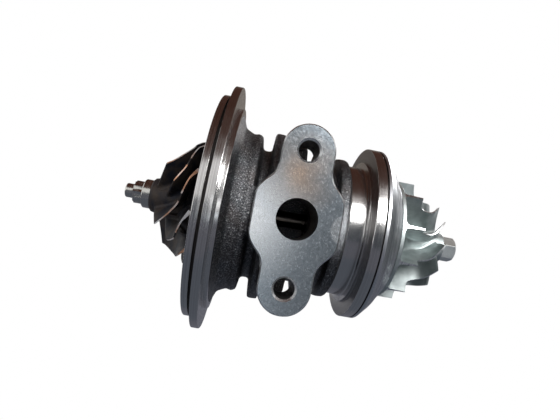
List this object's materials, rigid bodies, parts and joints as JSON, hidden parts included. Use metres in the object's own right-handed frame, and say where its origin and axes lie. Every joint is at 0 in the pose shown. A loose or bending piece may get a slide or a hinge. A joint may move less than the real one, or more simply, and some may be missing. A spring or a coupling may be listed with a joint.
{
  "type": "turbo cartridge",
  "caption": "Turbocharger cartridge: finned bearing housing with round flanges and an oil drain pad, a rotor with turbine and compressor wheels, and the backplate.",
  "frame": {"origin": "on the shaft axis, in the plane of the seat face of the turbine flange", "axes": "+X along the shaft to the compressor end; -Y out of the oil drain; +Z completes the right hand. Fitted in an engine, the part is turned a quarter turn about X so that the drain points down."},
  "size_m": [0.153, 0.1076, 0.1076],
  "materials": {
    "housing": "grey iron as cast, with turned and ground faces",
    "sheet_steel": "pressed sheet",
    "turbine": "dark cast heat-resisting alloy",
    "ground_steel": "ground",
    "spring_steel": "satin",
    "bronze": "turned bearing bronze",
    "turned_aluminium": "finely turned",
    "rubber": "matt",
    "screw_steel": "satin",
    "cast_aluminium": "satin cast, bright on the machined blade edges",
    "nut_steel": "satin"
  },
  "bodies": {
    "housing": {"bearing_housing": "housing", "heat_shield": "sheet_steel", "turbine_seal_ring": "spring_steel", "turbine_bush_outer_clip": "spring_steel", "turbine_bush_inner_clip": "spring_steel", "compressor_bush_inner_clip": "spring_steel", "compressor_bush_outer_clip": "spring_steel", "thrust_bearing": "bronze", "thrust_pins": "spring_steel", "oil_deflector": "sheet_steel", "compressor_seal_ring": "spring_steel", "backplate": "turned_aluminium", "backplate_o_ring": "rubber", "backplate_screws": "screw_steel"},
    "rotor": {"turbine_wheel": "turbine", "rotor_shaft": "ground_steel", "thrust_collar": "ground_steel", "oil_flinger": "ground_steel", "compressor_wheel": "cast_aluminium", "compressor_nut": "nut_steel"},
    "turbine_bush": {"turbine_bush": "bronze"},
    "compressor_bush": {"compressor_bush": "bronze"}
  },
  "joints": [
    {"name": "rotor_spin", "type": "hinge", "parent": "housing", "child": "rotor", "pos_m": [0, 0, 0], "axis": [-1, 0, 0], "continuous": true},
    {"name": "turbine_bush_spin", "type": "hinge", "parent": "housing", "child": "turbine_bush", "pos_m": [0.0159, 0, 0], "axis": [-1, 0, 0], "continuous": true},
    {"name": "compressor_bush_spin", "type": "hinge", "parent": "housing", "child": "compressor_bush", "pos_m": [0.0456, 0, 0], "axis": [-1, 0, 0], "continuous": true}
  ]
}
